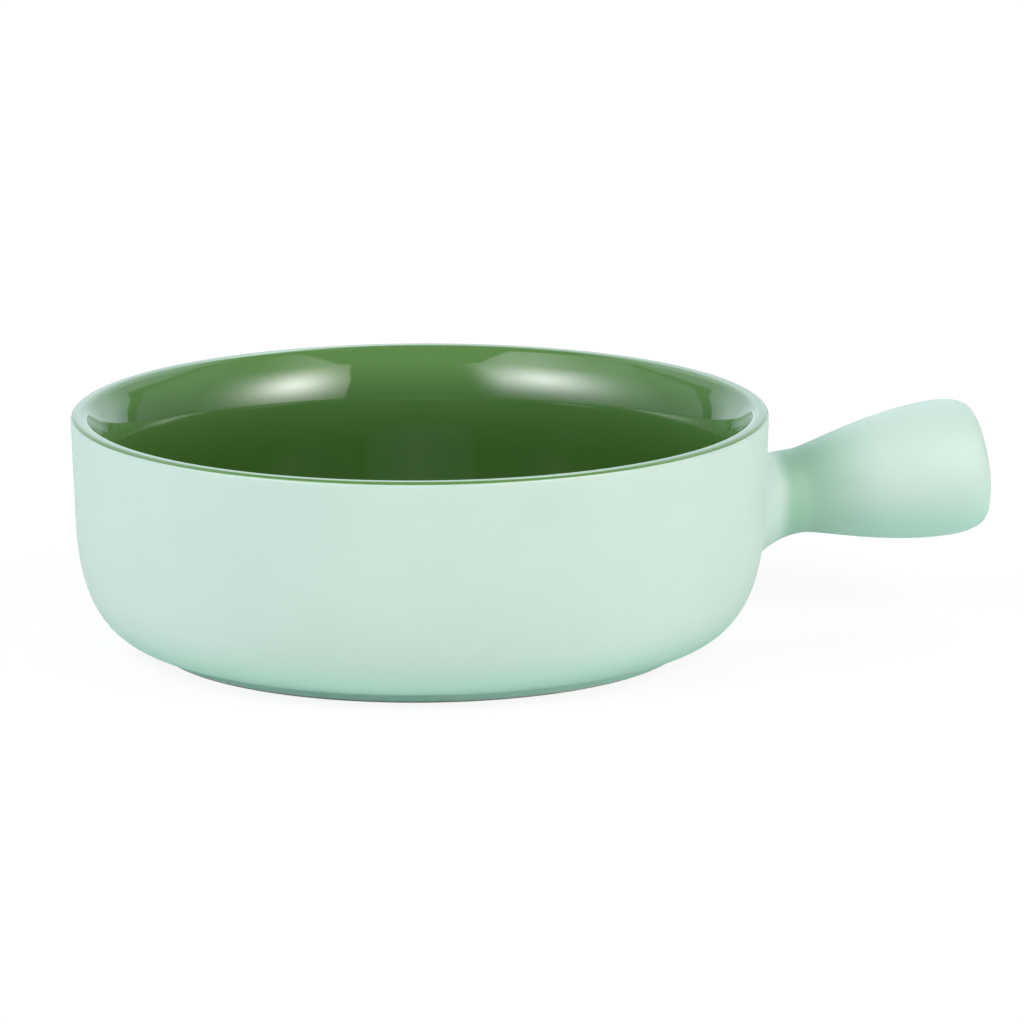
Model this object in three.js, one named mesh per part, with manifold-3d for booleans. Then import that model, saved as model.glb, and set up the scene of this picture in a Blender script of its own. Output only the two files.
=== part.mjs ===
// An ovenproof stoneware bowl with one hollow stub handle, in millimetres, +Z up.
// Clay pieces: the bowl's body, its foot ring and the handle, which slip joins to the wall.
// Glaze coats: glossy green inside and over the rim, matte mint outside, on the handle and underneath.
// The bowl stands on z = 0 and the handle points along +X.
import * as THREE from "three";
import { mergeVertices } from "three/addons/utils/BufferGeometryUtils.js";
import Module from "manifold-3d";

// Bowl, measured over the glaze
const RIM_RADIUS = 80;
const BOWL_HEIGHT = 54.5;
const RIM_OUTER_ROUND = 1.4;
const RIM_INNER_ROUND = 2.5;
const GLAZE_LINE_ANGLE = 35; // degrees up the rim's outer rounding, where the two colours meet

// Outer wall: it tapers in a little from the rim, then turns under towards the foot
const WALL_TAPER = 0.85;
const TURN_HEIGHT = 29.6;
const TURN_UPPER_PULL = 20.7;
const TURN_LOWER_PULL = 9;

// Inner wall: a lip bevels in from the rim, rounds into the wall, and that turns into a flat floor
const LIP_SLOPE = 40; // degrees from upright
const LIP_HEIGHT = 7.4; // rim to where the bevel and the wall would meet if the lip weren't rounded
const LIP_ROUND = 15.5;
const INNER_LEAN = 3; // degrees
const INNER_UPPER_PULL = 24;
const INNER_LOWER_PULL = 15;
const FLOOR_INSET = 27; // rim's outer edge to the edge of the flat floor
const FLOOR_THICKNESS = 6; // under the bowl's inside, between both glazes

// Foot ring
const FOOT_INSET = 18.7; // rim's outer edge to the foot's outer face
const FOOT_HEIGHT = 2.3; // table to the glazed underside
const FOOT_WIDTH = 5;
const FOOT_CHAMFER = 0.5; // the bare lower edge

// Handle: a round stub, narrow at its neck and wide at its end, on an axis that rises outwards
const HANDLE_RISE = 1.75; // how far its axis meets the wall above the bowl's middle height
const HANDLE_TILT = 5.5; // degrees
const NECK_RADIUS = 9.85;
const NECK_REACH = 11.4; // wall to the narrowest place
const NECK_PULL = 3.7;
const CREST_RADIUS = 15.9;
const CREST_PULL = 15.5;
const END_REACH = 54.6; // wall to the edge of the end face
const END_ROUND_LENGTH = 8;
const END_ROUND_DEPTH = 2.5;
const END_DOME = 0.9;
const UPPER_FILLET = 6;
const SIDE_FILLET = 8;
const LOWER_FILLET = 11;
const FILLET_EDGE_ANGLE = 14; // degrees: the fillets start this steep, so their edge has a thickness
const HANDLE_WALL = 4.5;
const VENT_RADIUS = 1.5; // a hollow handle breathes through a hole underneath while it is fired
const VENT_REACH = 18;

// Coats and fits
const GLAZE = 0.5;
const JOINT_CLEARANCE = 0.2;
const COAT_CLEARANCE = 0.03; // under the coats that have a hole cut in them

// Smoothness
const LATHE_SEGMENTS = 48;
const TURN_STEPS = 7;
const ROUND_STEPS = 3;
const LIP_STEPS = 5;
const HANDLE_SIDES = 28;
const ROOT_STEPS = 4;
const FILLET_STEPS = 4;
const FLARE_STEPS = 7;
const END_STEPS = 5;

const tilt = THREE.MathUtils.degToRad(HANDLE_TILT);
const lipSlope = THREE.MathUtils.degToRad(LIP_SLOPE);
const lean = THREE.MathUtils.degToRad(INNER_LEAN);
const glazeLine = THREE.MathUtils.degToRad(GLAZE_LINE_ANGLE);
const filletStart = THREE.MathUtils.degToRad(FILLET_EDGE_ANGLE);
const rimTopRadius = RIM_RADIUS - RIM_OUTER_ROUND;
const wallRadius = RIM_RADIUS - WALL_TAPER;
const footRadius = RIM_RADIUS - FOOT_INSET;
const footInnerRadius = footRadius - FOOT_WIDTH;
const floorRadius = RIM_RADIUS - FLOOR_INSET;
const floorHeight = FOOT_HEIGHT + FLOOR_THICKNESS;
const undersideHeight = FOOT_HEIGHT + GLAZE;
const rootHeight = BOWL_HEIGHT / 2 + HANDLE_RISE;
const coatBack = GLAZE - COAT_CLEARANCE;

const wasm = await Module();
wasm.setup();

// Finishes
const stoneware = new THREE.MeshStandardMaterial({ color: "#e6e0d2", roughness: 0.85, metalness: 0 });
const slip = new THREE.MeshStandardMaterial({ color: "#ddd5c4", roughness: 0.9, metalness: 0 });
const mintGlaze = new THREE.MeshStandardMaterial({ color: "#c6e2d5", roughness: 0.55, metalness: 0 });
const greenGlaze = new THREE.MeshStandardMaterial({ color: "#4c7a3c", roughness: 0.12, metalness: 0 });

function piece(name, geometry, material) {
  const mesh = new THREE.Mesh(geometry, material);
  mesh.name = name;
  return mesh;
}

// The outer wall's profile from the foot up to the glaze line; inset 0 is the glaze, GLAZE the clay under it.
function outerProfile(inset) {
  const footJoin = new THREE.Vector2(footRadius - inset, FOOT_HEIGHT + inset);
  const turnTop = new THREE.Vector2(wallRadius - inset, TURN_HEIGHT);
  const rimEdge = new THREE.Vector2(RIM_RADIUS - inset, BOWL_HEIGHT - RIM_OUTER_ROUND);
  const wallDown = turnTop.clone().sub(rimEdge).normalize();
  const upperPull = turnTop.clone().addScaledVector(wallDown, TURN_UPPER_PULL);
  const path = new THREE.Path();
  path.moveTo(footJoin.x, footJoin.y);
  const lowerPull = footJoin.x + TURN_LOWER_PULL;
  path.bezierCurveTo(lowerPull, footJoin.y, upperPull.x, upperPull.y, turnTop.x, turnTop.y);
  path.lineTo(rimEdge.x, rimEdge.y);
  const turn = path.getPoints(TURN_STEPS);
  return [...turn, ...rimArc(inset, 0, glazeLine).slice(1)];
}

// An arc of the profile, as angles anticlockwise from outwards.
function arc(centre, radius, from, to, steps) {
  return Array.from({ length: steps + 1 }, (_, i) => {
    const angle = THREE.MathUtils.lerp(from, to, i / steps);
    return new THREE.Vector2(centre.x + radius * Math.cos(angle), centre.y + radius * Math.sin(angle));
  });
}

// Part of the rim's outer rounding.
function rimArc(inset, from, to) {
  const centre = new THREE.Vector2(rimTopRadius, BOWL_HEIGHT - RIM_OUTER_ROUND);
  return arc(centre, RIM_OUTER_ROUND - inset, from, to, ROUND_STEPS);
}

// The lip from the rim's top: a small round, the bevel, and the large round into the wall.
function lipProfile(inset) {
  const rimCentre = new THREE.Vector2(rimTopRadius, BOWL_HEIGHT - RIM_INNER_ROUND);
  const bevelNormal = new THREE.Vector2(-Math.cos(lipSlope), Math.sin(lipSlope));
  const bevelDown = new THREE.Vector2(-Math.sin(lipSlope), -Math.cos(lipSlope));
  const bevelTop = rimCentre.clone().addScaledVector(bevelNormal, RIM_INNER_ROUND);
  const slant = (LIP_HEIGHT - (BOWL_HEIGHT - bevelTop.y)) / Math.cos(lipSlope);
  const bevelLength = slant - LIP_ROUND * Math.tan((lipSlope - lean) / 2);
  const bevelEnd = bevelTop.clone().addScaledVector(bevelDown, bevelLength);
  const lipCentre = bevelEnd.clone().addScaledVector(bevelNormal, -LIP_ROUND);
  return [
    ...arc(rimCentre, RIM_INNER_ROUND - inset, Math.PI / 2, Math.PI - lipSlope, ROUND_STEPS),
    ...arc(lipCentre, LIP_ROUND - inset, Math.PI - lipSlope, Math.PI - lean, LIP_STEPS),
  ];
}

// The green coat's profile from the glaze line over the rim and down the inside to the floor's middle.
function innerProfile(inset) {
  const profile = [...rimArc(inset, glazeLine, Math.PI / 2), ...lipProfile(inset).slice(1)];
  const top = profile[profile.length - 1];
  const floorEdge = new THREE.Vector2(floorRadius, floorHeight - inset);
  const wall = new THREE.CubicBezierCurve(
    top,
    new THREE.Vector2(top.x - INNER_UPPER_PULL * Math.sin(lean), top.y - INNER_UPPER_PULL * Math.cos(lean)),
    new THREE.Vector2(floorEdge.x + INNER_LOWER_PULL, floorEdge.y),
    floorEdge,
  );
  profile.push(...wall.getPoints(TURN_STEPS).slice(1));
  profile.push(new THREE.Vector2(0, floorHeight - inset));
  return profile;
}

// A solid of revolution about the bowl's axis; the profile runs anticlockwise, with its radius to the right.
function turned(profile) {
  return new THREE.LatheGeometry(profile, LATHE_SEGMENTS).rotateX(Math.PI / 2);
}

// The same, with the profile closed on itself for a ring that doesn't reach the axis.
function turnedRing(profile) {
  return turned([...profile, profile[0]]);
}

function bowlBody() {
  const underside = new THREE.Vector2(0, undersideHeight);
  const profile = [underside, ...outerProfile(GLAZE), ...innerProfile(GLAZE).slice(1)];
  return piece("bowl_body", turned(profile), stoneware);
}

function footRing() {
  const outer = footRadius - GLAZE;
  const profile = [
    new THREE.Vector2(footInnerRadius + FOOT_CHAMFER, 0),
    new THREE.Vector2(outer - FOOT_CHAMFER, 0),
    new THREE.Vector2(outer, FOOT_CHAMFER),
    new THREE.Vector2(outer, undersideHeight),
    new THREE.Vector2(footInnerRadius, undersideHeight),
    new THREE.Vector2(footInnerRadius, FOOT_CHAMFER),
  ];
  return piece("foot_ring", turnedRing(profile), stoneware);
}

function baseGlaze() {
  const profile = [
    new THREE.Vector2(0, FOOT_HEIGHT),
    new THREE.Vector2(footInnerRadius, FOOT_HEIGHT),
    new THREE.Vector2(footInnerRadius, undersideHeight),
    new THREE.Vector2(0, undersideHeight),
  ];
  return piece("base_glaze", turned(profile), mintGlaze);
}

function innerGlaze() {
  const profile = [...innerProfile(0), ...innerProfile(GLAZE).reverse()];
  return piece("inner_glaze", turned([...profile, profile[0]]), greenGlaze);
}

// The mint coat covers the foot's outer face down to its bare edge, and leaves the handle's seat open.
function outerGlaze() {
  const profile = [
    new THREE.Vector2(footRadius, FOOT_CHAMFER),
    ...outerProfile(0),
    ...outerProfile(coatBack).reverse(),
    new THREE.Vector2(footRadius - coatBack, FOOT_CHAMFER),
  ];
  const coat = solidOf(turnedRing(profile)).subtract(solidOf(handleSeatCutter()));
  return piece("outer_glaze", geometryOf(coat), mintGlaze);
}

// Radius of the outer profile at a height, between its points.
function wallRadiusAt(height, inset) {
  const profile = outerProfile(inset);
  const above = profile.findIndex((point, i) => i > 0 && point.y >= height);
  const low = profile[above - 1];
  const high = profile[above];
  return THREE.MathUtils.mapLinear(height, low.y, high.y, low.x, high.x);
}

// A point of the handle: its section follows the wall at the root and is square to the axis past the neck.
function handlePoint(angle, reach, radius) {
  const side = radius * Math.cos(angle);
  const lift = radius * Math.sin(angle);
  const height = rootHeight + reach * Math.sin(tilt) + lift;
  const seat = wallRadiusAt(rootHeight + lift, 0) + JOINT_CLEARANCE;
  const onWall = new THREE.Vector3(Math.sqrt((seat + reach) ** 2 - side ** 2), side, height);
  const square = new THREE.Vector3(
    wallRadius + reach * Math.cos(tilt) - lift * Math.sin(tilt),
    side,
    rootHeight + reach * Math.sin(tilt) + lift * Math.cos(tilt),
  );
  return onWall.lerp(square, THREE.MathUtils.smoothstep(reach, 0, NECK_REACH));
}

// The root fillet's radius round the handle, limited by the wall above and below it.
function filletRadius(angle) {
  const roomAbove = BOWL_HEIGHT - RIM_OUTER_ROUND - rootHeight - NECK_RADIUS;
  const roomBelow = rootHeight - NECK_RADIUS - FOOT_HEIGHT - GLAZE;
  const upright = Math.sin(angle) > 0 ? Math.min(UPPER_FILLET, roomAbove) : Math.min(LOWER_FILLET, roomBelow);
  const fillet = THREE.MathUtils.lerp(SIDE_FILLET, upright, Math.sin(angle) ** 2);
  return Math.min(fillet, NECK_REACH);
}

function ringAngles() {
  return Array.from({ length: HANDLE_SIDES }, (_, i) => (2 * Math.PI * i) / HANDLE_SIDES);
}

// How far the root fillet stands out from the wall and from the neck, a share of the way round its turn.
function fillet(angle, share) {
  const radius = filletRadius(angle);
  const turn = THREE.MathUtils.lerp(filletStart, Math.PI / 2, share);
  return { reach: radius * (Math.cos(filletStart) - Math.cos(turn)), flare: radius * (1 - Math.sin(turn)) };
}

// The ring where the handle meets the wall, as radii round its axis.
function rootRadius(angle, inset) {
  return NECK_RADIUS - inset + fillet(angle, 0).flare;
}

// Rings from the neck to the end face; a larger inset gives the clay under the glaze, or the hollow.
function stubRings(inset) {
  const neck = new THREE.Vector2(NECK_REACH, NECK_RADIUS - inset);
  const crest = new THREE.Vector2(END_REACH - END_ROUND_LENGTH - inset, CREST_RADIUS - inset);
  const flare = new THREE.CubicBezierCurve(
    neck,
    new THREE.Vector2(neck.x + NECK_PULL, neck.y),
    new THREE.Vector2(crest.x - CREST_PULL, crest.y),
    crest,
  );
  const outline = flare.getPoints(FLARE_STEPS);
  for (let i = 1; i <= END_STEPS; i++) {
    const turn = (Math.PI / 2) * (i / END_STEPS);
    outline.push(
      new THREE.Vector2(
        crest.x + END_ROUND_LENGTH * Math.sin(turn),
        crest.y - END_ROUND_DEPTH * (1 - Math.cos(turn)),
      ),
    );
  }
  return outline.map(({ x, y }) => ringAngles().map((angle) => handlePoint(angle, x, y)));
}

function filletRings(inset) {
  return Array.from({ length: FILLET_STEPS }, (_, i) =>
    ringAngles().map((angle) => {
      const { reach, flare } = fillet(angle, i / FILLET_STEPS);
      return handlePoint(angle, reach, NECK_RADIUS - inset + flare);
    }),
  );
}

function endPoint(inset) {
  return handlePoint(0, END_REACH + END_DOME - inset, 0);
}

// The handle's outer skin from root to end.
function handleSkin(inset) {
  return [...filletRings(inset), ...stubRings(inset)];
}

// Radii across the root face, from the mouth of the hollow out to a share of the way to its edge.
function rootFaceRadius(angle, share, trim) {
  return THREE.MathUtils.lerp(NECK_RADIUS - GLAZE - HANDLE_WALL, rootRadius(angle, GLAZE) - trim, share);
}

// The hollow opens on the wall, and the root face round it follows the wall.
function handleShell() {
  const hollow = GLAZE + HANDLE_WALL;
  const rootFace = Array.from({ length: ROOT_STEPS }, (_, i) =>
    ringAngles().map((angle) => handlePoint(angle, 0, rootFaceRadius(angle, i / ROOT_STEPS, 0))),
  );
  const rings = [...stubRings(hollow).reverse(), ...rootFace, ...handleSkin(GLAZE)];
  return piece("handle_shell", vented(ringSkin(rings, endPoint(hollow), endPoint(GLAZE))), stoneware);
}

function handleGlaze() {
  const rings = [...handleSkin(coatBack).reverse(), ...handleSkin(0)];
  return piece("handle_glaze", vented(ringSkin(rings, endPoint(coatBack), endPoint(0))), mintGlaze);
}

// The slip pad lies in the mint coat's opening, between the bowl's clay and the handle's root.
function handleSlipJoint() {
  const ring = (share, inset, stand) =>
    ringAngles().map((angle) => {
      const radius = rootFaceRadius(angle, share, JOINT_CLEARANCE);
      const height = rootHeight + radius * Math.sin(angle);
      const side = radius * Math.cos(angle);
      const distance = wallRadiusAt(height, inset) + stand;
      return new THREE.Vector3(Math.sqrt(distance ** 2 - side ** 2), side, height);
    });
  const shares = Array.from({ length: ROOT_STEPS + 1 }, (_, i) => i / ROOT_STEPS);
  const wallFace = shares.map((share) => ring(share, GLAZE, JOINT_CLEARANCE));
  const rootFace = shares.map((share) => ring(share, 0, 0)).reverse();
  return piece("handle_slip_joint", ringSkin([...wallFace, ...rootFace, wallFace[0]]), slip);
}

// A plug through the wall, of the outline that the slip pad fills.
function handleSeatCutter() {
  const shape = new THREE.Shape(
    ringAngles().map((angle) => {
      const radius = rootRadius(angle, GLAZE);
      return new THREE.Vector2(radius * Math.cos(angle), rootHeight + radius * Math.sin(angle));
    }),
  );
  const plug = new THREE.ExtrudeGeometry(shape, { depth: RIM_RADIUS + NECK_REACH, bevelEnabled: false });
  return plug.rotateX(Math.PI / 2).rotateZ(Math.PI / 2);
}

// The handle with its vent, from the hollow straight down through the underside.
function vented(geometry) {
  const depth = CREST_RADIUS;
  const vent = new THREE.CylinderGeometry(VENT_RADIUS, VENT_RADIUS, depth, HANDLE_SIDES / 2);
  vent.rotateX(Math.PI / 2).translate(0, 0, -depth / 2).rotateY(-tilt);
  const top = handlePoint(0, VENT_REACH, 0);
  vent.translate(top.x, top.y, top.z);
  return geometryOf(solidOf(geometry).subtract(solidOf(vent)));
}

// A closed skin over rings of as many points: it ends in points, or joins its last ring to its first.
// Facets split along their shorter diagonal, so two skins over the same rings share every facet.
function ringSkin(rings, start, end) {
  const sides = rings[0].length;
  const points = rings.flat();
  const index = [];
  for (let ring = 0; ring < rings.length - 1; ring++) {
    for (let side = 0; side < sides; side++) {
      const a = ring * sides + side;
      const b = ring * sides + ((side + 1) % sides);
      const c = b + sides;
      const d = a + sides;
      const acrossFromA = points[a].distanceTo(points[c]) < points[b].distanceTo(points[d]);
      index.push(...(acrossFromA ? [a, b, c, a, c, d] : [a, b, d, b, c, d]));
    }
  }
  if (start) {
    const last = (rings.length - 1) * sides;
    points.push(start, end);
    for (let side = 0; side < sides; side++) {
      const next = (side + 1) % sides;
      index.push(points.length - 2, next, side, points.length - 1, last + side, last + next);
    }
  }
  return new THREE.BufferGeometry().setFromPoints(points).setIndex(index);
}

// A closed geometry as a solid for a boolean cut, and back.
function solidOf(geometry) {
  const bare = geometry.clone().deleteAttribute("normal").deleteAttribute("uv");
  const merged = mergeVertices(bare, 1e-4);
  const mesh = new wasm.Mesh({
    numProp: 3,
    vertProperties: merged.getAttribute("position").array,
    triVerts: new Uint32Array(merged.index.array),
  });
  return new wasm.Manifold(mesh);
}

function geometryOf(solid) {
  const mesh = solid.getMesh();
  const geometry = new THREE.BufferGeometry();
  geometry.setAttribute("position", new THREE.BufferAttribute(mesh.vertProperties, mesh.numProp));
  geometry.setIndex(new THREE.BufferAttribute(mesh.triVerts, 1));
  geometry.computeVertexNormals();
  return geometry;
}

const bowl = new THREE.Group();
bowl.name = "ovenproof_bowl";
bowl.add(bowlBody(), footRing(), baseGlaze(), innerGlaze(), outerGlaze());
bowl.add(handleShell(), handleSlipJoint(), handleGlaze());

// The origin lies on the table, under the middle of the bowl and its handle together.
bowl.position.x = -new THREE.Box3().setFromObject(bowl).getCenter(new THREE.Vector3()).x;

export default bowl;
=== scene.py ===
"""Looks for an ovenproof stoneware bowl with one stub handle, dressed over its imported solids.

All sizes are in metres. The bowl stands on z = 0 and its handle points along +X.
"""
import math

import bpy
from mathutils import Matrix, Vector
from mathutils.geometry import interpolate_bezier

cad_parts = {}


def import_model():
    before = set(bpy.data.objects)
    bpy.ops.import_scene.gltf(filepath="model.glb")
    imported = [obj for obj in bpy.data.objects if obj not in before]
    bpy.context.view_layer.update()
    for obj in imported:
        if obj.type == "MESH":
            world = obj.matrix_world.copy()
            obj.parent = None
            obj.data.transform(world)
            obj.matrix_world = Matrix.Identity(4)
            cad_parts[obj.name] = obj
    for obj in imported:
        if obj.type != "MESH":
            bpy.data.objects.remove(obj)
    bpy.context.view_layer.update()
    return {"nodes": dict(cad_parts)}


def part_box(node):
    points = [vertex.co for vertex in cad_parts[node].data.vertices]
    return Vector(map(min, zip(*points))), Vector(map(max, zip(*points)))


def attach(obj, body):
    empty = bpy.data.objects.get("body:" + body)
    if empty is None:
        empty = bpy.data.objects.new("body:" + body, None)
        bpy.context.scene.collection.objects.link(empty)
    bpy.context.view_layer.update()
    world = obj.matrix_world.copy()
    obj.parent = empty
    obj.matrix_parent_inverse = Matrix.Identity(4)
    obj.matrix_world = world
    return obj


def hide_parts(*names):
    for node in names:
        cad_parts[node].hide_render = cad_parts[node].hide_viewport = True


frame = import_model()

MM = 0.001

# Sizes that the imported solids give
wall_low, wall_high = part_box("outer_glaze")
foot_low, foot_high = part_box("foot_ring")
AXIS_X = (foot_low.x + foot_high.x) / 2
RIM_RADIUS = (wall_high.y - wall_low.y) / 2
BOWL_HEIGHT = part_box("inner_glaze")[1].z
FOOT_CHAMFER = wall_low.z
FOOT_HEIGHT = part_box("base_glaze")[0].z
FOOT_INNER_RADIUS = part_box("base_glaze")[1].y
CLAY_FOOT_RADIUS = foot_high.y
CLAY_FOOT_TOP = foot_high.z

# Coats
GLAZE = 0.5 * MM
FOOT_RADIUS = CLAY_FOOT_RADIUS + GLAZE

# Rim and outer wall
RIM_OUTER_ROUND = 1.4 * MM
RIM_LAND = 0.7 * MM
RIM_INNER_ROUND = 2.5 * MM
GLAZE_LINE_ANGLE = 35  # degrees up the rim's outer rounding, where the two colours meet
WALL_TAPER = 0.85 * MM
TURN_HEIGHT = 29.6 * MM
TURN_UPPER_PULL = 20.7 * MM
TURN_LOWER_PULL = 9 * MM

# Inner wall and floor
LIP_SLOPE = 40  # degrees from upright
LIP_HEIGHT = 7.4 * MM
LIP_ROUND = 15.5 * MM
INNER_LEAN = 3  # degrees
INNER_UPPER_PULL = 24 * MM
INNER_LOWER_PULL = 15 * MM
FLOOR_INSET = 27 * MM
FLOOR_THICKNESS = 6 * MM

# Foot and underside
FOOT_CREVICE = 0.6 * MM  # glaze that rounds out the corner between foot and underside
FOOT_EDGE_ROUND = 0.35 * MM

# Handle
HANDLE_RISE = 1.75 * MM
HANDLE_TILT = math.radians(5.5)
NECK_RADIUS = 9.85 * MM
NECK_REACH = 11.4 * MM
NECK_PULL = 3.7 * MM
CREST_RADIUS = 15.9 * MM
CREST_PULL = 15.5 * MM
END_REACH = 54.6 * MM
END_ROUND_LENGTH = 8 * MM
END_ROUND_DEPTH = 2.5 * MM
END_ROUND_TURN = math.radians(86)
END_DOME = 0.9 * MM
UPPER_FILLET = 6 * MM
SIDE_FILLET = 8 * MM
LOWER_FILLET = 11 * MM
FILLET_STAND = 0.97  # how far a fillet stands out from the wall, as a share of its radius
SEAT_STAND = 0.01 * MM
VENT_RADIUS = 1.5 * MM
VENT_REACH = 18 * MM

# Smoothness
TURNED_SIDES = 192
TURN_STEPS = 28
WALL_STEPS = 6
EDGE_STEPS = 10
LIP_STEPS = 14
HANDLE_SIDES = 96
FILLET_STEPS = 14
NECK_STEPS = 4
FLARE_STEPS = 22
END_STEPS = 14
DOME_STEPS = 8
VENT_SIDES = 27
MERGE_DISTANCE = 0.001 * MM
CREASE_ANGLE = math.radians(30)

# Where the handle's axis meets the wall, and the axis itself
ROOT = Vector((AXIS_X + RIM_RADIUS - WALL_TAPER, 0, BOWL_HEIGHT / 2 + HANDLE_RISE))
ALONG_HANDLE = Vector((math.cos(HANDLE_TILT), 0, math.sin(HANDLE_TILT)))
UP_HANDLE = Vector((-math.sin(HANDLE_TILT), 0, math.cos(HANDLE_TILT)))

# Camera, as the photograph was taken: its place round the bowl and what its picture is centred on
CAMERA_AZIMUTH = math.radians(-15)
CAMERA_ELEVATION = math.radians(12.337)
CAMERA_ROLL = math.radians(-0.179)
CAMERA_DISTANCE = 2.0
CAMERA_LENS = 305.93  # millimetres, on Blender's 36 mm sensor
VIEW_HEIGHT = 28 * MM
PICTURE_RIGHT = 21.05 * MM
PICTURE_UP = 2.35 * MM


# Curves of the bowl's section, as points (distance from the axis, height)


def bezier(start, start_pull, end_pull, end, steps):
    """Points along a curve that leaves and reaches its ends towards the two pulls."""
    return [Vector(point[:2]) for point in interpolate_bezier(start, start_pull, end_pull, end, steps + 1)]


def arc(centre, radius, start, end, steps):
    """Points along an arc, with its angles in degrees, anticlockwise from outwards."""
    turns = [math.radians(start + (end - start) * i / steps) for i in range(steps + 1)]
    return [centre + radius * Vector((math.cos(turn), math.sin(turn))) for turn in turns]


def rim_arc(start, end):
    """Part of the rim's outer rounding."""
    centre = Vector((RIM_RADIUS - RIM_OUTER_ROUND, BOWL_HEIGHT - RIM_OUTER_ROUND))
    return arc(centre, RIM_OUTER_ROUND, start, end, EDGE_STEPS)


def wall_curve():
    """The outer wall from where it leaves the foot up to the glaze line on the rim."""
    foot = Vector((FOOT_RADIUS, FOOT_HEIGHT))
    turn_top = Vector((RIM_RADIUS - WALL_TAPER, TURN_HEIGHT))
    rim = rim_arc(0, GLAZE_LINE_ANGLE)
    down = (turn_top - rim[0]).normalized()
    lower_pull = foot + Vector((TURN_LOWER_PULL, 0))
    turn = bezier(foot, lower_pull, turn_top + TURN_UPPER_PULL * down, turn_top, TURN_STEPS)
    wall = [turn_top.lerp(rim[0], i / WALL_STEPS) for i in range(1, WALL_STEPS)]
    return turn + wall + rim


def liner_curve():
    """The inside from the glaze line over the rim and the bevelled lip to the middle of the floor."""
    slope = math.radians(LIP_SLOPE)
    lean = math.radians(INNER_LEAN)
    rim_centre = Vector((RIM_RADIUS - RIM_OUTER_ROUND - RIM_LAND, BOWL_HEIGHT - RIM_INNER_ROUND))
    rim_inside = arc(rim_centre, RIM_INNER_ROUND, 90, 180 - LIP_SLOPE, EDGE_STEPS)
    bevel_top = rim_inside[-1]
    bevel_out = Vector((-math.cos(slope), math.sin(slope)))
    bevel_down = Vector((-math.sin(slope), -math.cos(slope)))
    slant = (LIP_HEIGHT - (BOWL_HEIGHT - bevel_top.y)) / math.cos(slope)
    bevel_end = bevel_top + bevel_down * (slant - LIP_ROUND * math.tan((slope - lean) / 2))
    lip = arc(bevel_end - LIP_ROUND * bevel_out, LIP_ROUND, 180 - LIP_SLOPE, 180 - INNER_LEAN, LIP_STEPS)
    wall_top = lip[-1]
    floor_edge = Vector((RIM_RADIUS - FLOOR_INSET, FOOT_HEIGHT + FLOOR_THICKNESS))
    upper_pull = wall_top + INNER_UPPER_PULL * Vector((-math.sin(lean), -math.cos(lean)))
    lower_pull = floor_edge + Vector((INNER_LOWER_PULL, 0))
    wall = bezier(wall_top, upper_pull, lower_pull, floor_edge, TURN_STEPS)
    middle = Vector((0, floor_edge.y))
    return rim_arc(GLAZE_LINE_ANGLE, 90) + rim_inside + lip + wall[1:] + [middle]


# Modelling steps that several pieces share


def finish_mesh(piece, name):
    """Names a piece, leaves it in object mode and shades it smooth between its real edges."""
    bpy.ops.object.mode_set(mode="OBJECT")
    piece.name = name
    piece.data.name = name
    bpy.ops.object.shade_smooth_by_angle(angle=CREASE_ANGLE)
    return piece


def close_mesh():
    """Merges doubled points and turns the faces outwards, in edit mode."""
    bpy.ops.mesh.select_all(action="SELECT")
    bpy.ops.mesh.remove_doubles(threshold=MERGE_DISTANCE)
    bpy.ops.mesh.normals_make_consistent(inside=False)


def turned(curve):
    """A surface turned about the bowl's axis: a point is drawn out along the curve, then spun."""
    bpy.ops.object.select_all(action="DESELECT")
    bpy.ops.mesh.primitive_plane_add(size=GLAZE)
    piece = bpy.context.object
    bpy.ops.object.mode_set(mode="EDIT")
    bpy.ops.mesh.select_mode(type="VERT")
    bpy.ops.mesh.select_all(action="SELECT")
    bpy.ops.mesh.merge(type="CENTER")
    bpy.ops.transform.translate(value=(AXIS_X + curve[0].x, 0, curve[0].y))
    for here, there in zip(curve, curve[1:]):
        step = (there.x - here.x, 0, there.y - here.y)
        bpy.ops.mesh.extrude_vertices_move(TRANSFORM_OT_translate={"value": step})
    bpy.ops.mesh.select_all(action="SELECT")
    bpy.ops.mesh.spin(steps=TURNED_SIDES, angle=2 * math.pi, center=(AXIS_X, 0, 0), axis=(0, 0, 1))
    close_mesh()
    bpy.ops.object.mode_set(mode="OBJECT")
    return piece


def thicken(piece, thickness):
    """Gives a surface its thickness, behind the side that shows."""
    wall = piece.modifiers.new("thickness", "SOLIDIFY")
    wall.thickness = thickness
    wall.offset = -1
    wall.use_even_offset = True
    bpy.context.view_layer.objects.active = piece
    bpy.ops.object.modifier_apply(modifier=wall.name)


def cut(piece, cutter):
    """Cuts one piece away from another."""
    opening = piece.modifiers.new("opening", "BOOLEAN")
    opening.operation = "DIFFERENCE"
    opening.solver = "EXACT"
    opening.object = cutter
    bpy.context.view_layer.objects.active = piece
    bpy.ops.object.modifier_apply(modifier=opening.name)
    bpy.data.objects.remove(cutter)
    bpy.ops.object.select_all(action="DESELECT")
    piece.select_set(True)


# The turned pieces


def green_liner():
    """The glossy coat inside the bowl and over its rim."""
    piece = turned(liner_curve())
    thicken(piece, GLAZE)
    return finish_mesh(piece, "green_liner")


def mint_wall():
    """The matte coat outside, from the foot's bare edge to the glaze line."""
    crevice = Vector((FOOT_RADIUS + FOOT_CREVICE, FOOT_HEIGHT - FOOT_CREVICE))
    bare_edge = Vector((FOOT_RADIUS, FOOT_CHAMFER))
    corner = arc(crevice, FOOT_CREVICE, 180, 90, EDGE_STEPS)
    wall = [point for point in wall_curve() if point.x > corner[-1].x]
    piece = turned([bare_edge] + corner + wall)
    thicken(piece, GLAZE)
    return finish_mesh(piece, "mint_wall")


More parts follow.
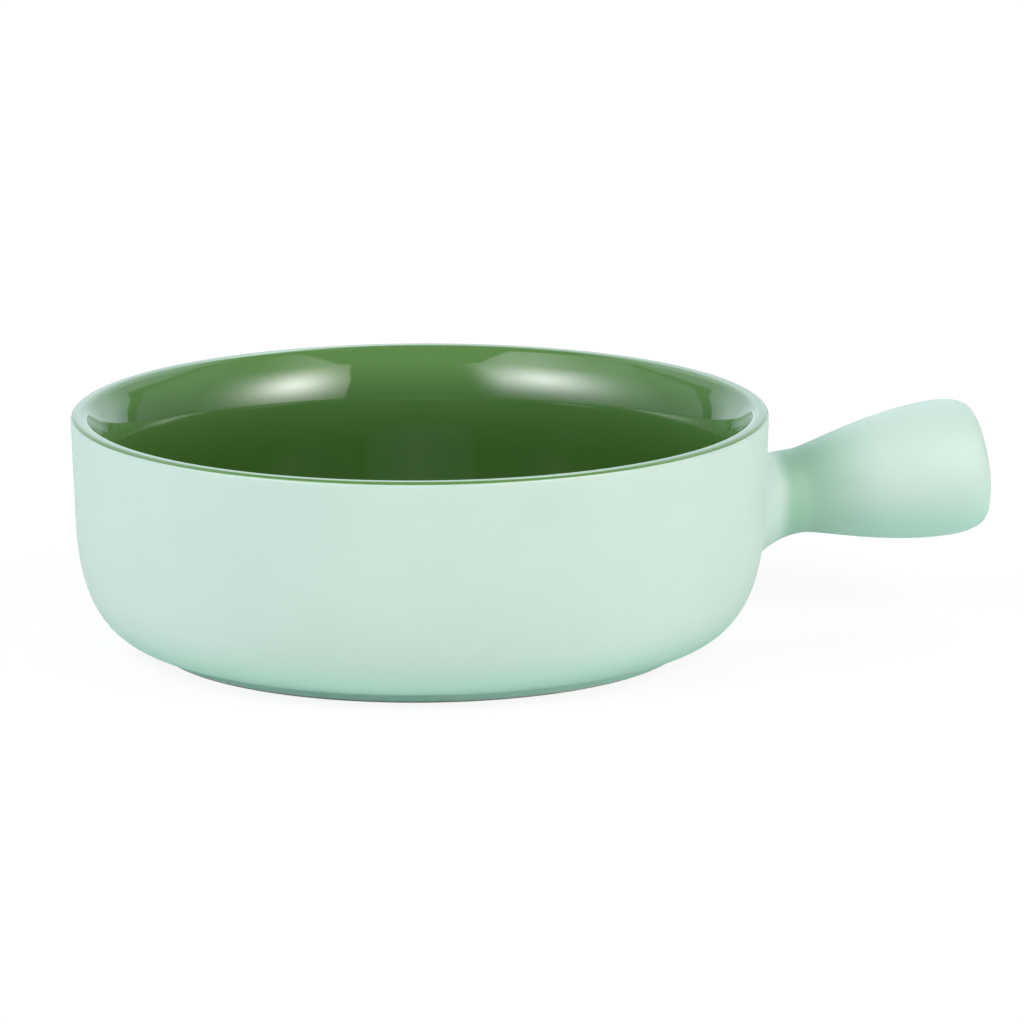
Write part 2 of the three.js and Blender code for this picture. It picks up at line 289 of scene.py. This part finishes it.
def clay_foot():
    """The ring of bare clay that the bowl stands on, with its lower edges worn round."""
    inner_edge = Vector((FOOT_INNER_RADIUS + FOOT_EDGE_ROUND, FOOT_EDGE_ROUND))
    outer_edge = Vector((CLAY_FOOT_RADIUS - FOOT_EDGE_ROUND, FOOT_EDGE_ROUND))
    section = arc(inner_edge, FOOT_EDGE_ROUND, 180, 270, EDGE_STEPS)
    section += arc(outer_edge, FOOT_EDGE_ROUND, 270, 360, EDGE_STEPS)
    section += [Vector((CLAY_FOOT_RADIUS, CLAY_FOOT_TOP)), Vector((FOOT_INNER_RADIUS, CLAY_FOOT_TOP))]
    piece = turned(section + section[:1])
    return finish_mesh(piece, "clay_foot")


def mint_base():
    """The glazed underside within the foot ring, where the glaze has crept into the corner."""
    corner = Vector((FOOT_INNER_RADIUS - FOOT_CREVICE, FOOT_HEIGHT - FOOT_CREVICE))
    curve = [Vector((0, FOOT_HEIGHT))] + arc(corner, FOOT_CREVICE, 90, 0, EDGE_STEPS)
    top = [Vector((FOOT_INNER_RADIUS, FOOT_HEIGHT + GLAZE)), Vector((0, FOOT_HEIGHT + GLAZE))]
    piece = turned(curve + top)
    return finish_mesh(piece, "mint_base")


# The handle


def wall_radius_at(height):
    """How far the outer wall is from the bowl's axis at a height."""
    curve = wall_curve()
    for low, high in zip(curve, curve[1:]):
        if low.y <= height <= high.y:
            return low.x + (high.x - low.x) * (height - low.y) / (high.y - low.y)
    raise ValueError("the handle's root reaches past the wall")


def smooth_step(share):
    """A share held from 0 to 1 and eased at both ends."""
    share = min(max(share, 0), 1)
    return share * share * (3 - 2 * share)


def handle_point(angle, reach, radius):
    """A point of the handle: its section follows the wall at the root and is square past the neck."""
    side = radius * math.cos(angle)
    lift = radius * math.sin(angle)
    from_axis = wall_radius_at(ROOT.z + lift) + SEAT_STAND + reach
    rise = reach * math.sin(HANDLE_TILT)
    on_wall = Vector((AXIS_X + math.sqrt(from_axis**2 - side**2), side, ROOT.z + rise + lift))
    square = ROOT + reach * ALONG_HANDLE + lift * UP_HANDLE + Vector((0, side, 0))
    return on_wall.lerp(square, smooth_step(reach / NECK_REACH))


def fillet_radius(angle):
    """The root fillet's radius, which is largest under the handle and smallest above it."""
    upright = UPPER_FILLET if math.sin(angle) > 0 else LOWER_FILLET
    return SIDE_FILLET + (upright - SIDE_FILLET) * math.sin(angle) ** 2


def root_point(angle, ring):
    """A point of the root, counted in rings from the neck back to where it runs out on the wall."""
    fillet = fillet_radius(angle)
    stand = fillet * FILLET_STAND
    if ring <= NECK_STEPS:
        return handle_point(angle, NECK_REACH + (stand - NECK_REACH) * ring / NECK_STEPS, NECK_RADIUS)
    turn = math.pi / 2 * (1 - (ring - NECK_STEPS) / FILLET_STEPS)
    return handle_point(angle, stand * (1 - math.cos(turn)), NECK_RADIUS + fillet * (1 - math.sin(turn)))


def stub_outline():
    """The handle's outline past the neck, as points (reach from the wall, radius)."""
    neck = Vector((NECK_REACH, NECK_RADIUS))
    crest = Vector((END_REACH - END_ROUND_LENGTH, CREST_RADIUS))
    neck_pull = neck + Vector((NECK_PULL, 0))
    crest_pull = crest - Vector((CREST_PULL, 0))
    outline = bezier(neck, neck_pull, crest_pull, crest, FLARE_STEPS)
    for i in range(1, END_STEPS + 1):
        turn = END_ROUND_TURN * i / END_STEPS
        drop = END_ROUND_DEPTH * (1 - math.cos(turn))
        outline.append(crest + Vector((END_ROUND_LENGTH * math.sin(turn), -drop)))
    edge = outline[-1]
    dome = END_REACH + END_DOME - edge.x
    for i in range(1, DOME_STEPS):
        share = 1 - i / DOME_STEPS
        outline.append(Vector((edge.x + dome * (1 - share**2), edge.y * share)))
    outline.append(Vector((END_REACH + END_DOME, 0)))
    return outline


def draw_out_stub():
    """Draws the selected neck ring out along the handle and closes it at the end, in edit mode."""
    outline = stub_outline()
    for here, there in zip(outline, outline[1:-1]):
        step = ALONG_HANDLE * (there.x - here.x)
        bpy.ops.mesh.extrude_edges_move(TRANSFORM_OT_translate={"value": step})
        size = there.y / here.y
        centre = ROOT + ALONG_HANDLE * there.x
        bpy.ops.transform.resize(value=(size, size, size), center_override=centre)
    step = ALONG_HANDLE * (outline[-1].x - outline[-2].x)
    bpy.ops.mesh.extrude_edges_move(TRANSFORM_OT_translate={"value": step})
    bpy.ops.mesh.merge(type="CENTER")


def select_ring(piece, reach):
    """Selects the ring of the handle at a reach from the wall, from edit mode and back to it."""
    bpy.ops.mesh.select_mode(type="VERT")
    bpy.ops.mesh.select_all(action="DESELECT")
    bpy.ops.object.mode_set(mode="OBJECT")
    for vertex in piece.data.vertices:
        vertex.select = abs((vertex.co - ROOT).dot(ALONG_HANDLE) - reach) < MERGE_DISTANCE
    bpy.ops.object.mode_set(mode="EDIT")
    bpy.ops.mesh.select_mode(type="EDGE")


def press_root(piece, ring_step):
    """Presses the rings behind the neck onto the wall, each point to its place on the root fillet."""
    for vertex in piece.data.vertices:
        place = vertex.co - ROOT
        ring = round((NECK_REACH - place.dot(ALONG_HANDLE)) / ring_step)
        if ring > 0:
            angle = math.atan2(place.dot(UP_HANDLE), place.y)
            vertex.co = root_point(angle, ring)


def mint_handle():
    """The matte coat on the handle and its root fillet, with the vent hole underneath."""
    bpy.ops.object.select_all(action="DESELECT")
    bpy.ops.mesh.primitive_circle_add(
        vertices=HANDLE_SIDES,
        radius=NECK_RADIUS,
        location=ROOT + ALONG_HANDLE * NECK_REACH,
        rotation=(0, math.pi / 2 - HANDLE_TILT, 0),
    )
    piece = bpy.context.object
    bpy.ops.object.transform_apply(location=True, rotation=True, scale=True)
    bpy.ops.object.mode_set(mode="EDIT")
    bpy.ops.mesh.select_all(action="SELECT")
    draw_out_stub()
    select_ring(piece, NECK_REACH)
    ring_count = NECK_STEPS + FILLET_STEPS
    ring_step = NECK_REACH / ring_count
    for ring in range(ring_count):
        bpy.ops.mesh.extrude_edges_move(TRANSFORM_OT_translate={"value": -ALONG_HANDLE * ring_step})
    bpy.ops.object.mode_set(mode="OBJECT")
    press_root(piece, ring_step)
    bpy.ops.object.mode_set(mode="EDIT")
    close_mesh()
    bpy.ops.object.mode_set(mode="OBJECT")
    thicken(piece, GLAZE)
    cut(piece, vent_cutter())
    return finish_mesh(piece, "mint_handle")


def vent_cutter():
    """A plug from the handle's axis down through its underside."""
    middle = ROOT + ALONG_HANDLE * VENT_REACH - UP_HANDLE * CREST_RADIUS / 2
    bpy.ops.mesh.primitive_cylinder_add(
        vertices=VENT_SIDES,
        radius=VENT_RADIUS,
        depth=CREST_RADIUS,
        location=middle,
        rotation=(0, -HANDLE_TILT, 0),
    )
    return bpy.context.object


# Finishes


class Wire:
    """One output of a shader node, on which sums are written as on a number."""

    def __init__(self, sheet, socket):
        self.sheet = sheet
        self.socket = socket

    def maths(self, operation, first, second):
        return self.sheet.node("ShaderNodeMath", {"operation": operation}, {0: first, 1: second})

    def __add__(self, other):
        return self.maths("ADD", self, other)

    def __radd__(self, other):
        return self.maths("ADD", other, self)

    def __sub__(self, other):
        return self.maths("SUBTRACT", self, other)

    def __rsub__(self, other):
        return self.maths("SUBTRACT", other, self)

    def __mul__(self, other):
        return self.maths("MULTIPLY", self, other)

    def __rmul__(self, other):
        return self.maths("MULTIPLY", other, self)


class Sheet:
    """The nodes of one finish."""

    def __init__(self, tree):
        self.tree = tree
        self.tree.nodes.clear()

    def node(self, kind, settings=None, inputs=None, output=0):
        """Adds a node, with its settings first, and returns one of its outputs."""
        made = self.tree.nodes.new(kind)
        for name, value in (settings or {}).items():
            setattr(made, name, value)
        for name, value in (inputs or {}).items():
            if isinstance(value, Wire):
                self.tree.links.new(value.socket, made.inputs[name])
            else:
                made.inputs[name].default_value = value
        return Wire(self, made.outputs[output]) if made.outputs else None

    def place(self):
        """Where a point of the surface is, in the object's own frame."""
        return self.node("ShaderNodeTexCoord", output="Object")

    def noise(self, place, width, detail):
        """Cloudy noise of about that width, from 0 to 1."""
        inputs = {"Vector": place, "Scale": 1 / width, "Detail": detail}
        return self.node("ShaderNodeTexNoise", None, inputs)

    def share(self, value, low, high):
        """How far a value is from low to high, from 0 to 1, eased at both ends."""
        inputs = {"Value": value, "From Min": low, "From Max": high}
        return self.node("ShaderNodeMapRange", {"interpolation_type": "SMOOTHSTEP"}, inputs)

    def blend(self, share, first, second):
        """One colour, mixed from two."""
        inputs = {"Factor": share, 6: first, 7: second}
        return self.node("ShaderNodeMix", {"data_type": "RGBA"}, inputs, output=2)

    def relief(self, height, depth, strength):
        """A surface normal from a height that goes from 0 to 1 over that depth."""
        inputs = {"Height": height, "Distance": depth, "Strength": strength}
        return self.node("ShaderNodeBump", None, inputs)


def finish(name):
    """A new material and the sheet of its nodes."""
    material = bpy.data.materials.new(name)
    material.use_nodes = True
    return material, Sheet(material.node_tree)


def surface(sheet, **inputs):
    """Ends a finish in one glazed or bare surface."""
    named = {name.replace("_", " "): value for name, value in inputs.items()}
    shader = sheet.node("ShaderNodeBsdfPrincipled", None, named)
    sheet.node("ShaderNodeOutputMaterial", None, {"Surface": shader})


def colour(red, green, blue):
    """An opaque colour, in linear light."""
    return (red, green, blue, 1)


MINT_PALE = colour(0.6, 0.745, 0.655)
MINT_DEEP = colour(0.58, 0.725, 0.632)
# Painted shade: a greener mint low on the wall and under the handle
MINT_SHADE_TINT = colour(0.47, 0.755, 0.61)
# Painted shade: a deeper mint in the handle's waist
MINT_WAIST_SHADE = colour(0.35, 0.575, 0.425)
# Painted light: a paler mint on the band round the foot
MINT_FOOT_LIGHT = colour(0.64, 0.95, 0.83)
# Painted shade: a darker green low in the bowl
GREEN_LOW_SHADE = colour(0.05, 0.127, 0.022)
GREEN_BODY = colour(0.09, 0.207, 0.054)
# Painted light: a lighter green on the lip
GREEN_LIP_LIGHT = colour(0.127, 0.275, 0.075)
GREEN_THIN = colour(0.2, 0.36, 0.11)
CLAY_PALE = colour(0.82, 0.77, 0.67)
CLAY_DARK = colour(0.7, 0.64, 0.53)
SLIP_PALE = colour(0.74, 0.68, 0.57)
SLIP_DARK = colour(0.62, 0.56, 0.46)

# Noise of the finishes, each with its width and detail, and the range that such noise mostly keeps to
MINT_CLOUDS = (22 * MM, 4)
MINT_FLECKS = (0.7 * MM, 2)
MINT_TOOTH = (0.25 * MM, 2)
GREEN_CLOUDS = (16 * MM, 3)
GREEN_RUNS = (30 * MM, 1)
CLAY_CLOUDS = (6 * MM, 3)
CLAY_GRAIN = (0.35 * MM, 4)
NOISE_RANGE = (0.35, 0.65)
NOISE_MIDDLE = 0.5

# Surfaces: shares of the fine noise in the tint, roughness with its variation, relief as depth and strength
MINT_FLECK_SHARE = 0.3
MINT_ROUGHNESS = 0.42
MINT_ROUGHNESS_VARIES = 0.14
MINT_RELIEF = (0.01 * MM, 0.35)
GREEN_ROUGHNESS = 0.035
GREEN_ROUGHNESS_VARIES = 0.02
GREEN_IOR = 1.9
GREEN_RELIEF = (0.05 * MM, 0.5)
CLAY_GRAIN_SHARE = 0.5
CLAY_ROUGHNESS = 0.82
CLAY_ROUGHNESS_VARIES = 0.12
CLAY_RELIEF = (0.05 * MM, 0.6)

# Where the mint changes: heights above the table, distances from the axis or past the rim's radius, and
# how far up the surface faces
# Ranges of the mint's painted shade and painted light
LOW_WALL = (3 * MM, 15 * MM)
FOOT_BAND_TOP = (FOOT_HEIGHT - 0.5 * MM, FOOT_HEIGHT + MM)
FOOT_BAND_FROM = (FOOT_RADIUS - 2 * MM, FOOT_RADIUS - MM)
WAIST_START = (3.5 * MM, 7.5 * MM)
WAIST_END = (9 * MM, 32 * MM)
HANDLE_START = (0, 8 * MM)
UNDERSIDE_FACING = (-0.9, 0.1)

# Where the green changes: heights above the table, and distances from the axis
# Ranges of the green's painted shade and painted light, with the wobble of their edge, and of its thin edge
GREEN_SHADE_WOBBLE = 3 * MM
GREEN_SHADE_RISE = (30 * MM, 47 * MM)
GREEN_LIGHT_RISE = (44 * MM, BOWL_HEIGHT - MM)
GLAZE_LINE_HEIGHT = BOWL_HEIGHT - RIM_OUTER_ROUND * (1 - math.sin(math.radians(GLAZE_LINE_ANGLE)))
THIN_EDGE = (GLAZE_LINE_HEIGHT - 0.05 * MM, GLAZE_LINE_HEIGHT + 0.25 * MM)
OVER_RIM = (RIM_RADIUS - RIM_OUTER_ROUND, RIM_RADIUS - GLAZE)


def upward(sheet, vector):
    """The upward part of a place or a direction."""
    return sheet.node("ShaderNodeSeparateXYZ", None, {"Vector": vector}, output="Z")


def from_bowl_axis(sheet, place):
    """How far a point is from the bowl's axis."""
    inputs = {"Vector": place, "Location": (-AXIS_X, 0, 0), "Scale": (1, 1, 0)}
    level = sheet.node("ShaderNodeMapping", None, inputs)
    return sheet.node("ShaderNodeVectorMath", {"operation": "LENGTH"}, {0: level}, output="Value")


def mint_glaze():
    """Matte mint: nearly even, with a satin tooth.

    It has painted shade, deeper in the handle's waist, greener under the handle and low on the wall,
    and painted light, pale on the band round the foot.
    """
    material, sheet = finish("matte_mint_glaze")
    place = sheet.place()
    clouds = sheet.noise(place, *MINT_CLOUDS)
    flecks = sheet.noise(place, *MINT_FLECKS)
    tooth = sheet.noise(place, *MINT_TOOTH)
    mottle = (1 - MINT_FLECK_SHARE) * clouds + MINT_FLECK_SHARE * flecks
    tint = sheet.blend(sheet.share(mottle, *NOISE_RANGE), MINT_DEEP, MINT_PALE)
    rise = upward(sheet, place)
    # Painted shade: greener low on the wall
    tint = sheet.blend(1 - sheet.share(rise, *LOW_WALL), tint, MINT_SHADE_TINT)
    off_axis = from_bowl_axis(sheet, place)
    off_wall = off_axis - RIM_RADIUS
    # Painted shade: greener where the handle faces down
    facing = sheet.node("ShaderNodeNewGeometry", output="Normal")
    underside = 1 - sheet.share(upward(sheet, facing), *UNDERSIDE_FACING)
    tint = sheet.blend(underside * sheet.share(off_wall, *HANDLE_START), tint, MINT_SHADE_TINT)
    # Painted shade: deeper in the handle's waist
    waist = sheet.share(off_wall, *WAIST_START) * (1 - sheet.share(off_wall, *WAIST_END))
    tint = sheet.blend(waist, tint, MINT_WAIST_SHADE)
    # Painted light: paler on the band round the foot
    foot = (1 - sheet.share(rise, *FOOT_BAND_TOP)) * sheet.share(off_axis, *FOOT_BAND_FROM)
    surface(
        sheet,
        Base_Color=sheet.blend(foot, tint, MINT_FOOT_LIGHT),
        Roughness=MINT_ROUGHNESS + MINT_ROUGHNESS_VARIES * clouds,
        Normal=sheet.relief(tooth, *MINT_RELIEF),
    )
    return material


def green_glaze():
    """Glossy forest green: painted light on the lip, painted shade down the wall, and thin along its edge.
    """
    material, sheet = finish("glossy_green_glaze")
    place = sheet.place()
    clouds = sheet.noise(place, *GREEN_CLOUDS)
    runs = sheet.noise(place, *GREEN_RUNS)
    rise = upward(sheet, place)
    # Height wobbled by the clouds, where the painted shade and painted light change
    shade_rise = rise + GREEN_SHADE_WOBBLE * (clouds - NOISE_MIDDLE)
    # Painted shade down the wall and painted light on the lip
    wall = sheet.blend(sheet.share(shade_rise, *GREEN_SHADE_RISE), GREEN_LOW_SHADE, GREEN_BODY)
    body = sheet.blend(sheet.share(shade_rise, *GREEN_LIGHT_RISE), wall, GREEN_LIP_LIGHT)
    thin = 1 - sheet.share(rise, *THIN_EDGE)
    over_rim = sheet.share(from_bowl_axis(sheet, place), *OVER_RIM)
    surface(
        sheet,
        Base_Color=sheet.blend(thin * over_rim, body, GREEN_THIN),
        Roughness=GREEN_ROUGHNESS + GREEN_ROUGHNESS_VARIES * clouds,
        IOR=GREEN_IOR,
        Normal=sheet.relief(runs, *GREEN_RELIEF),
    )
    return material


def bare_clay(name, pale, dark):
    """Fired clay without glaze: grainy, dry and flecked."""
    material, sheet = finish(name)
    place = sheet.place()
    clouds = sheet.noise(place, *CLAY_CLOUDS)
    grain = sheet.noise(place, *CLAY_GRAIN)
    mottle = (1 - CLAY_GRAIN_SHARE) * clouds + CLAY_GRAIN_SHARE * grain
    surface(
        sheet,
        Base_Color=sheet.blend(sheet.share(mottle, *NOISE_RANGE), dark, pale),
        Roughness=CLAY_ROUGHNESS + CLAY_ROUGHNESS_VARIES * grain,
        Normal=sheet.relief(grain, *CLAY_RELIEF),
    )
    return material


def wear(piece, material, slot, *nodes):
    """Gives a new piece its finish, and lets it stand for its CAD nodes."""
    piece.data.materials.clear()
    piece.data.materials.append(material)
    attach(piece, "root")
    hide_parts(*nodes)


def repaint(node, material):
    """Gives its finish to a CAD node that stays."""
    for slot in frame["nodes"][node].material_slots:
        slot.material = material


# Studio


WHITE = colour(1, 1, 1)
TABLE_RADIUS = 6
TABLE_WHITE = colour(0.95, 0.95, 0.95)
PAPER_GLOW = 1.04
PAPER_NEAR = 0.84  # how far the table shows as lit paper rather than as lit by the lamps, near the bowl
PAPER_FAR = 1
PAPER_FADE = (0.1, 0.35)  # metres from the frame's origin
CAMERA_REACH = 4 * TABLE_RADIUS
MIDDLE = Vector((AXIS_X, 0, VIEW_HEIGHT))
CAMERA_SIDE = Vector((math.sin(CAMERA_AZIMUTH), -math.cos(CAMERA_AZIMUTH), 0))
CAMERA_RIGHT = Vector((math.cos(CAMERA_AZIMUTH), math.sin(CAMERA_AZIMUTH), 0))

# Light of the room, with angles in degrees: round from the camera to the right, and up
ROOM_GLOW = 0.06
ROOM_COLOUR = colour(0.9, 1, 1.13)
RIGHT_HALF = (-5, 5)
EDGE_SLANT = 1.42  # how far the edges draw forward as they rise
EDGE_BLUR = 0.3
BACKDROP_EDGE = 138
BACKDROP_SLANT_FROM = 24
BACKDROP_EDGE_GLOW = 0.5
BACKDROP_GAIN = 0.45
BACKDROP_GAIN_OVER = (BACKDROP_EDGE - 1, BACKDROP_EDGE + 14)
BACKDROP_MIDDLE_GAIN = 0.3
BACKDROP_MIDDLE = (155, 175)
BACKDROP_TOP = (40, 64)
SIDE_GLOW_LEFT = 0.26
SIDE_GLOW_RIGHT = 0.18
SIDE_START = (50, 80)
SIDE_EDGE = 131
SIDE_SLANT_FROM = 28
SIDE_BOTTOM = (5, 8)
SIDE_TOP = (46, 54)

# Bright spots on the backdrop: level, core, spread and lean
BACKDROP_SPOTS = (
    (2.3, (170, 43), (7, 17), 0.82),
    (0.8, (-178, 34), (8, 15), 0),
)
SPOT_FALL = 0.8  # below 1, a spot has a sharper core and a wider rim

# Softboxes
SOFTBOX_DISTANCE = 1.1
SOFTBOX_BOTTOM = 1.5
CORNER_FROM = 30


def floor():
    """A white table, which keeps the bowl's shadow and is paper white further off."""
    bpy.ops.object.select_all(action="DESELECT")
    bpy.ops.mesh.primitive_circle_add(vertices=TURNED_SIDES, radius=TABLE_RADIUS, fill_type="NGON")
    table = bpy.context.object
    table.name = "white_table"
    material, sheet = finish("white_table")
    place = sheet.place()
    ray = sheet.node("ShaderNodeLightPath", output="Is Camera Ray")
    away = sheet.node("ShaderNodeVectorMath", {"operation": "LENGTH"}, {0: place}, output="Value")
    paper = PAPER_NEAR + (PAPER_FAR - PAPER_NEAR) * sheet.share(away, *PAPER_FADE)
    matte = sheet.node("ShaderNodeBsdfDiffuse", None, {"Color": TABLE_WHITE})
    light = sheet.node("ShaderNodeEmission", None, {"Color": WHITE, "Strength": PAPER_GLOW})
    seen = sheet.node("ShaderNodeMixShader", None, {"Fac": ray * paper, 1: matte, 2: light})
    sheet.node("ShaderNodeOutputMaterial", None, {"Surface": seen})
    table.data.materials.append(material)


def angles(sheet, way):
    """How far round from the camera and how far up a direction points, in radians."""
    dot = {"operation": "DOT_PRODUCT"}
    aside = sheet.node("ShaderNodeVectorMath", dot, {0: way, 1: CAMERA_RIGHT}, output="Value")
    ahead = sheet.node("ShaderNodeVectorMath", dot, {0: way, 1: CAMERA_SIDE}, output="Value")
    rise = upward(sheet, way)
    return aside.maths("ARCTAN2", aside, ahead), rise.maths("ARCSINE", rise, 0)


def bright_spot(round_way, up_way, core, spread, lean=0):
    """A soft spot that is 1 at its core and fades over its spread; with a lean, its upper part is moved."""
    above_core = up_way - math.radians(core[1])
    off_core = round_way - math.radians(core[0]) + lean * above_core
    across = off_core * (1 / math.radians(spread[0]))
    along = above_core * (1 / math.radians(spread[1]))
    fall = across * across + along * along
    return fall.maths("POWER", 1 / math.e, fall.maths("POWER", fall, SPOT_FALL))


def beyond(way, angle):
    """How far a direction is past an angle, and 0 before it."""
    past = way - math.radians(angle)
    return past.maths("MAXIMUM", past, 0)


def between(sheet, way, low, high):
    """How far a direction is from one angle to another, from 0 to 1, eased at both ends."""
    return sheet.share(way, math.radians(low), math.radians(high))


def world():
    """White all round for the camera.

    The bowl itself sees a dark room: a white backdrop behind it with two bright spots, and a dim wall on
    either side with a dark gap before the backdrop.
    """
    room = bpy.data.worlds.new("white_studio")
    bpy.context.scene.world = room
    room.use_nodes = True
    sheet = Sheet(room.node_tree)
    round_way, up_way = angles(sheet, sheet.node("ShaderNodeTexCoord", output="Generated"))
    from_front = round_way.maths("ABSOLUTE", round_way, 0)
    slanted = from_front + EDGE_SLANT * beyond(up_way, BACKDROP_SLANT_FROM)
    backdrop = between(sheet, slanted, BACKDROP_EDGE - EDGE_BLUR, BACKDROP_EDGE + EDGE_BLUR)
    backdrop = backdrop * (BACKDROP_EDGE_GLOW + BACKDROP_GAIN * between(sheet, slanted, *BACKDROP_GAIN_OVER))
    backdrop = backdrop * (1 + BACKDROP_MIDDLE_GAIN * between(sheet, from_front, *BACKDROP_MIDDLE))
    backdrop = backdrop * (1 - between(sheet, up_way, *BACKDROP_TOP))
    slanted = from_front + EDGE_SLANT * beyond(up_way, SIDE_SLANT_FROM)
    side = 1 - between(sheet, slanted, SIDE_EDGE - EDGE_BLUR, SIDE_EDGE + EDGE_BLUR)
    side = side * between(sheet, from_front, *SIDE_START)
    side = side * between(sheet, up_way, *SIDE_BOTTOM) * (1 - between(sheet, up_way, *SIDE_TOP))
    on_right = between(sheet, round_way, *RIGHT_HALF)
    side = side * (SIDE_GLOW_LEFT + (SIDE_GLOW_RIGHT - SIDE_GLOW_LEFT) * on_right)
    glow = ROOM_GLOW + backdrop + side
    for level, core, spread, lean in BACKDROP_SPOTS:
        glow = glow + level * bright_spot(round_way, up_way, core, spread, lean)
    ray = sheet.node("ShaderNodeLightPath", output="Is Camera Ray")
    tint = sheet.blend(ray, ROOM_COLOUR, WHITE)
    strength = ray + (1 - ray) * glow
    light = sheet.node("ShaderNodeBackground", None, {"Color": tint, "Strength": strength})
    sheet.node("ShaderNodeOutputWorld", None, {"Surface": light})


def way_to(azimuth, elevation):
    """The direction from the bowl to a place round it."""
    turn = CAMERA_AZIMUTH + math.radians(azimuth)
    rise = math.radians(elevation)
    return Vector((math.sin(turn) * math.cos(rise), -math.cos(turn) * math.cos(rise), math.sin(rise)))


def softbox(name, tint, level, core, spread, inner_edge, soft_edge, outer_edge, top, corner):
    """An upright softbox beside the bowl, whose lamp shows through its cloth as a bright core.

    Its core, spread and edges are the angles at which the bowl sees them. The corner says how much the
    inner edge draws back towards the top.
    """
    to_inner = math.tan(math.radians(inner_edge - core[0]))
    to_outer = math.tan(math.radians(outer_edge - core[0]))
    to_bottom = math.tan(math.radians(SOFTBOX_BOTTOM))
    to_top = math.tan(math.radians(top))
    light = bpy.data.lights.new(name, "AREA")
    light.shape = "RECTANGLE"
    light.size = SOFTBOX_DISTANCE * abs(to_outer - to_inner)
    light.size_y = SOFTBOX_DISTANCE * (to_top - to_bottom)
    light.energy = math.pi * light.size * light.size_y  # a strength of 1 then looks white
    light.use_nodes = True
    sheet = Sheet(light.node_tree)
    spot = sheet.node("ShaderNodeNewGeometry", output="Position")
    away = sheet.node("ShaderNodeVectorMath", {"operation": "SUBTRACT"}, {0: spot, 1: MIDDLE})
    way = sheet.node("ShaderNodeVectorMath", {"operation": "NORMALIZE"}, {0: away})
    round_way, up_way = angles(sheet, way)
    drawn_back = beyond(up_way, CORNER_FROM)
    from_edge = round_way.maths("ABSOLUTE", round_way, 0) - corner * (drawn_back * drawn_back)
    cloth = between(sheet, from_edge, abs(inner_edge), abs(inner_edge) + soft_edge)
    strength = level * cloth * bright_spot(round_way, up_way, core, spread)
    lamp_light = sheet.node("ShaderNodeEmission", None, {"Color": tint, "Strength": strength})
    sheet.node("ShaderNodeOutputLight", None, {"Surface": lamp_light})
    lamp = bpy.data.objects.new(name, light)
    bpy.context.scene.collection.objects.link(lamp)
    ahead = way_to(core[0], 0)
    aside = Vector((0, 0, 1)).cross(ahead) * (to_inner + to_outer) / 2
    lift = Vector((0, 0, (to_bottom + to_top) / 2))
    lamp.location = MIDDLE + SOFTBOX_DISTANCE * (ahead + aside + lift)
    lamp.rotation_euler = ahead.to_track_quat("Z", "Y").to_euler()
    lamp.visible_camera = False


def camera():
    """The camera where the photograph was taken from, turned to the middle of its picture."""
    back = way_to(0, math.degrees(CAMERA_ELEVATION))
    right = Vector((0, 0, 1)).cross(back).normalized()
    up = back.cross(right)
    place = MIDDLE + CAMERA_DISTANCE * back
    back = (place - (MIDDLE + PICTURE_RIGHT * right + PICTURE_UP * up)).normalized()
    right = Vector((0, 0, 1)).cross(back).normalized()
    up = back.cross(right)
    turned_right = math.cos(CAMERA_ROLL) * right + math.sin(CAMERA_ROLL) * up
    turned_up = math.cos(CAMERA_ROLL) * up - math.sin(CAMERA_ROLL) * right
    lens = bpy.data.cameras.new("photo_camera")
    lens.lens = CAMERA_LENS
    lens.clip_end = CAMERA_REACH
    seat = bpy.data.objects.new("photo_camera", lens)
    bpy.context.scene.collection.objects.link(seat)
    turn = Matrix((turned_right, turned_up, back)).transposed()
    seat.matrix_world = Matrix.Translation(place) @ turn.to_4x4()
    bpy.context.scene.camera = seat


# The dressed bowl


mint = mint_glaze()
clay = bare_clay("bare_stoneware", CLAY_PALE, CLAY_DARK)
wear(green_liner(), green_glaze(), "green_glaze", "inner_glaze")
wear(mint_wall(), mint, "mint_glaze", "outer_glaze")
wear(mint_handle(), mint, "mint_glaze", "handle_glaze")
wear(clay_foot(), clay, "stoneware", "foot_ring")
wear(mint_base(), mint, "mint_glaze", "base_glaze")
repaint("bowl_body", clay)
repaint("handle_shell", clay)
repaint("handle_slip_joint", bare_clay("fired_slip", SLIP_PALE, SLIP_DARK))

floor()
world()
softbox(
    "right_softbox",
    tint=colour(1, 1, 0.97),
    level=7.5,
    core=(53.3, 33),
    spread=(17, 20),
    inner_edge=28.5,
    soft_edge=1,
    outer_edge=95,
    top=64.5,
    corner=0.58,
)
softbox(
    "left_softbox",
    tint=colour(0.98, 1, 1.03),
    level=6.6,
    core=(-54.5, 40),
    spread=(23.5, 18.5),
    inner_edge=-18.5,
    soft_edge=18,
    outer_edge=-108,
    top=67,
    corner=0,
)
camera()
bpy.context.scene.view_settings.view_transform = "Standard"
